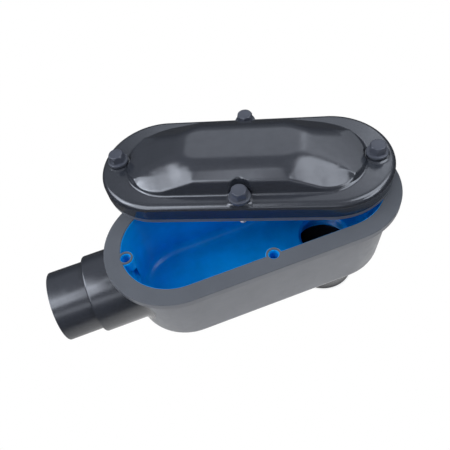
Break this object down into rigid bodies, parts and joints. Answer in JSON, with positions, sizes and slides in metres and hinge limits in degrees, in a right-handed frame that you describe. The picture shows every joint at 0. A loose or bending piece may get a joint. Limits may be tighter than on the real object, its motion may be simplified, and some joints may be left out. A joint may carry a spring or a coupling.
{
  "type": "conduit body",
  "caption": "Coated oval conduit body with a threaded hub at one end and another at the back, and a domed screw-on cover with its gasket, swung aside on one screw.",
  "frame": {"origin": "centre of the end hub's threaded mouth, on the hub's axis", "axes": "+X from the end hub along the oval body, +Z out of the oval opening, -Z out of the back hub, -Y the side left uncovered"},
  "size_m": [0.262, 0.1578, 0.1367],
  "materials": {
    "blue_urethane_iron": "cast iron with a bright blue urethane coating, semi-gloss",
    "grey_pvc": "dark grey PVC coat, semi-gloss",
    "coated_cover": "cast metal under a glossy dark grey PVC coat",
    "black_rubber": "smooth black rubber",
    "steel": "plain stainless steel",
    "moulded_head": "moulded dark grey plastic"
  },
  "bodies": {
    "body": {"body_casting": "blue_urethane_iron", "pvc_jacket": "grey_pvc", "end_sleeve": "grey_pvc", "back_sleeve": "grey_pvc"},
    "cover": {"cover": "coated_cover", "cover_gasket": "black_rubber", "sealing_washer_left": "black_rubber", "sealing_washer_near": "black_rubber", "sealing_washer_right": "black_rubber", "sealing_washer_far": "black_rubber"},
    "screw_left": {"cover_screw_left": "steel", "screw_head_left": "moulded_head"},
    "screw_near": {"cover_screw_near": "steel", "screw_head_near": "moulded_head"},
    "screw_right": {"cover_screw_right": "steel", "screw_head_right": "moulded_head"},
    "screw_far": {"cover_screw_far": "steel", "screw_head_far": "moulded_head"}
  },
  "joints": [
    {"name": "cover_swing", "type": "hinge", "parent": "body", "child": "cover", "pos_m": [0.2195, 0, 0.0289], "axis": [0, 0, 1], "range_deg": [-14, 9]},
    {"name": "screw_left_turn", "type": "hinge", "parent": "cover", "child": "screw_left", "pos_m": [0.04604, 0.07506, 0.0289], "axis": [0, 0, 1], "continuous": true},
    {"name": "screw_near_turn", "type": "hinge", "parent": "cover", "child": "screw_near", "pos_m": [0.11768, 0.00266, 0.0289], "axis": [0, 0, 1], "continuous": true},
    {"name": "screw_right_turn", "type": "hinge", "parent": "body", "child": "screw_right", "pos_m": [0.2195, 0, 0.0289], "axis": [0, 0, 1], "continuous": true},
    {"name": "screw_far_turn", "type": "hinge", "parent": "cover", "child": "screw_far", "pos_m": [0.14786, 0.07241, 0.0289], "axis": [0, 0, 1], "continuous": true}
  ]
}
